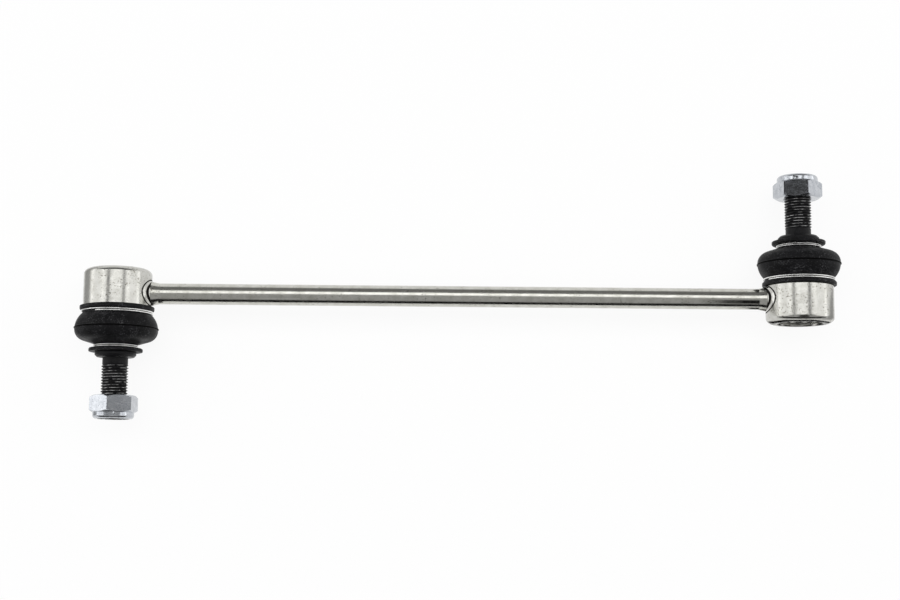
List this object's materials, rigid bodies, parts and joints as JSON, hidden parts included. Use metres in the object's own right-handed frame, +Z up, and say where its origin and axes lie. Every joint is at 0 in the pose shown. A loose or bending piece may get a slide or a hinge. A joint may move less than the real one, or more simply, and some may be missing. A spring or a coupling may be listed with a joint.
{
  "type": "stabilizer link",
  "caption": "Straight stabilizer link: a steel rod with a sealed ball joint at each end, whose threaded studs point opposite ways and carry locking nuts.",
  "frame": {"origin": "middle of the rod, on its axis, which is the centre of the part's box", "axes": "+X along the rod, left stud towards -Y and right stud towards +Y, +Z up with the part lying flat"},
  "size_m": [0.3434, 0.1124, 0.0374],
  "materials": {
    "zinc_steel": "satin zinc plate",
    "bright_zinc": "bright bluish zinc plate",
    "black_steel": "black phosphate",
    "spring_wire": "bright drawn wire",
    "rubber": "matt, with a dusty bloom",
    "seat_plastic": "moulded, unpainted",
    "nylon": "natural nylon"
  },
  "bodies": {
    "link": {"rod": "zinc_steel", "weld_collar_left": "zinc_steel", "housing_left": "zinc_steel", "cover_plate_left": "zinc_steel", "boot_left": "rubber", "large_clip_left": "spring_wire", "weld_collar_right": "zinc_steel", "housing_right": "zinc_steel", "cover_plate_right": "zinc_steel", "boot_right": "rubber", "large_clip_right": "spring_wire"},
    "left_seat": {"ball_seat_left": "seat_plastic"},
    "left_boot_neck": {"small_clip_left": "spring_wire"},
    "left_stud": {"ball_stud_left": "black_steel"},
    "left_nut_ring": {"nut_insert_left": "nylon"},
    "left_nut": {"nut_left": "bright_zinc"},
    "right_seat": {"ball_seat_right": "seat_plastic"},
    "right_boot_neck": {"small_clip_right": "spring_wire"},
    "right_stud": {"ball_stud_right": "black_steel"},
    "right_nut_ring": {"nut_insert_right": "nylon"},
    "right_nut": {"nut_right": "bright_zinc"}
  },
  "joints": [
    {"name": "left_tilt_direction", "type": "hinge", "parent": "link", "child": "left_seat", "pos_m": [-0.153, -0.0026, 0], "axis": [0, -1, 0], "continuous": true},
    {"name": "left_tilt", "type": "hinge", "parent": "left_seat", "child": "left_boot_neck", "pos_m": [-0.153, -0.0026, 0], "axis": [0, 0, 1], "range_deg": [-25, 25], "deforming": ["boot_left"]},
    {"name": "left_stud_spin", "type": "hinge", "parent": "left_boot_neck", "child": "left_stud", "pos_m": [-0.153, -0.0026, 0], "axis": [0, -1, 0], "continuous": true},
    {"name": "left_nut_travel", "type": "slide", "parent": "left_stud", "child": "left_nut_ring", "axis": [0, -1, 0], "range_m": [-0.01375, 0.0075]},
    {"name": "left_nut_turn", "type": "hinge", "parent": "left_nut_ring", "child": "left_nut", "pos_m": [-0.153, -0.0026, 0], "axis": [0, -1, 0], "range_deg": [-3960, 2160]},
    {"name": "right_tilt_direction", "type": "hinge", "parent": "link", "child": "right_seat", "pos_m": [0.153, 0.0026, 0], "axis": [0, 1, 0], "continuous": true},
    {"name": "right_tilt", "type": "hinge", "parent": "right_seat", "child": "right_boot_neck", "pos_m": [0.153, 0.0026, 0], "axis": [0, 0, 1], "range_deg": [-25, 25], "deforming": ["boot_right"]},
    {"name": "right_stud_spin", "type": "hinge", "parent": "right_boot_neck", "child": "right_stud", "pos_m": [0.153, 0.0026, 0], "axis": [0, 1, 0], "continuous": true},
    {"name": "right_nut_travel", "type": "slide", "parent": "right_stud", "child": "right_nut_ring", "axis": [0, 1, 0], "range_m": [-0.01375, 0.0075]},
    {"name": "right_nut_turn", "type": "hinge", "parent": "right_nut_ring", "child": "right_nut", "pos_m": [0.153, 0.0026, 0], "axis": [0, 1, 0], "range_deg": [-3960, 2160]}
  ],
  "couplings": [
    {"joint": "left_nut_travel", "follows": "left_nut_turn", "m_per_rad": 0.00019894},
    {"joint": "right_nut_travel", "follows": "right_nut_turn", "m_per_rad": 0.00019894}
  ]
}
